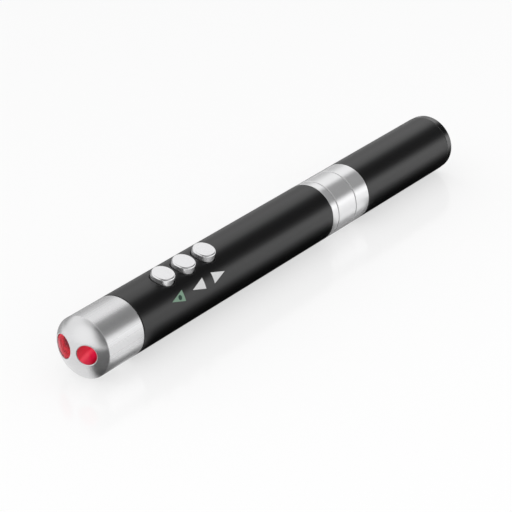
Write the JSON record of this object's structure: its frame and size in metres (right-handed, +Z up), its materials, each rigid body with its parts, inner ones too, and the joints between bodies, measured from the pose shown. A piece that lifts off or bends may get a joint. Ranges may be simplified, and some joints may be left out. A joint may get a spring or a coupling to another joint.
{
  "type": "laser pointer",
  "caption": "Pen-shaped laser pointer with a domed metal nose, red laser and infrared windows, chromed dome keys, a bright band and a rear half that unscrews.",
  "frame": {"origin": "centre of the bottom of the bounding box: on the surface that the pen lies on, below the middle of its length", "axes": "+X along the pen towards its tail, with the nose at -X; +Z up; the larger, infrared port on the +Y side; the keys point up and 15.2 degrees towards -Y"},
  "size_m": [0.149, 0.015, 0.0167],
  "materials": {
    "nose_metal": "satin, turned",
    "band_metal": "polished",
    "key_chrome": "satin chrome",
    "satin_black": "satin black lacquer",
    "gloss_black": "gloss black lacquer",
    "window_red": "clear red acrylic, polished",
    "silvered": "vacuum metallised",
    "smoked_epoxy": "moulded, glossy",
    "brass": "turned",
    "lens_glass": "polished, coated",
    "spring_steel": "drawn wire",
    "nickel": "nickel plated",
    "can_metal": "drawn can",
    "black_plastic": "moulded, matt",
    "grey_plastic": "moulded, matt",
    "white_plastic": "moulded",
    "board_green": "solder resist on glass-fibre laminate",
    "red_lead": "wire insulation",
    "black_lead": "wire insulation",
    "cell_jacket": "plain sleeved can",
    "seal_rubber": "moulded"
  },
  "bodies": {
    "pointer": {"nose_cap": "nose_metal", "laser_window": "window_red", "emitter_window": "window_red", "emitter_reflector": "silvered", "infrared_emitter": "smoked_epoxy", "laser_housing": "brass", "lens_nut": "brass", "collimator_lens": "lens_glass", "lens_spring": "spring_steel", "laser_diode": "nickel", "optics_holder": "black_plastic", "chassis": "black_plastic", "front_contact": "nickel", "circuit_board": "board_green", "board_screw_front": "spring_steel", "board_screw_rear": "spring_steel", "button_guide": "grey_plastic", "laser_switch": "black_plastic", "page_up_switch": "black_plastic", "page_down_switch": "black_plastic", "controller_chip": "black_plastic", "driver_transistor": "black_plastic", "resonator": "nickel", "capacitor": "can_metal", "laser_lead_plus": "red_lead", "laser_lead_minus": "black_lead", "emitter_lead_plus": "red_lead", "emitter_lead_minus": "black_lead", "ground_spring": "spring_steel", "front_barrel": "satin_black", "battery_front": "cell_jacket", "battery_rear": "cell_jacket", "battery_liner": "grey_plastic", "front_ring": "band_metal", "threaded_collar": "nickel", "seal_ring": "seal_rubber"},
    "laser_key": {"laser_button": "key_chrome", "laser_plunger": "white_plastic"},
    "page_up_key": {"page_up_button": "key_chrome", "page_up_plunger": "white_plastic"},
    "page_down_key": {"page_down_button": "key_chrome", "page_down_plunger": "white_plastic"},
    "sliding_spring": {"tail_spring": "spring_steel"},
    "rear_section": {"middle_ring": "band_metal", "rear_ring": "band_metal", "rear_barrel": "satin_black", "tail_plug": "gloss_black"}
  },
  "joints": [
    {"name": "laser_press", "type": "slide", "parent": "pointer", "child": "laser_key", "axis": [0, 0.2622, -0.965], "range_m": [0, 0.0005], "stiffness_N_per_m": 3000, "springref_m": -0.0002},
    {"name": "page_up_press", "type": "slide", "parent": "pointer", "child": "page_up_key", "axis": [0, 0.2622, -0.965], "range_m": [0, 0.0005], "stiffness_N_per_m": 3000, "springref_m": -0.0002},
    {"name": "page_down_press", "type": "slide", "parent": "pointer", "child": "page_down_key", "axis": [0, 0.2622, -0.965], "range_m": [0, 0.0005], "stiffness_N_per_m": 3000, "springref_m": -0.0002},
    {"name": "rear_travel", "type": "slide", "parent": "pointer", "child": "sliding_spring", "axis": [1, 0, 0], "range_m": [0, 0.005]},
    {"name": "rear_turn", "type": "hinge", "parent": "sliding_spring", "child": "rear_section", "pos_m": [0, 0, 0.00746], "axis": [1, 0, 0], "range_deg": [0, 1800]}
  ],
  "couplings": [
    {"joint": "rear_turn", "follows": "rear_travel", "rad_per_m": 6283.2}
  ]
}
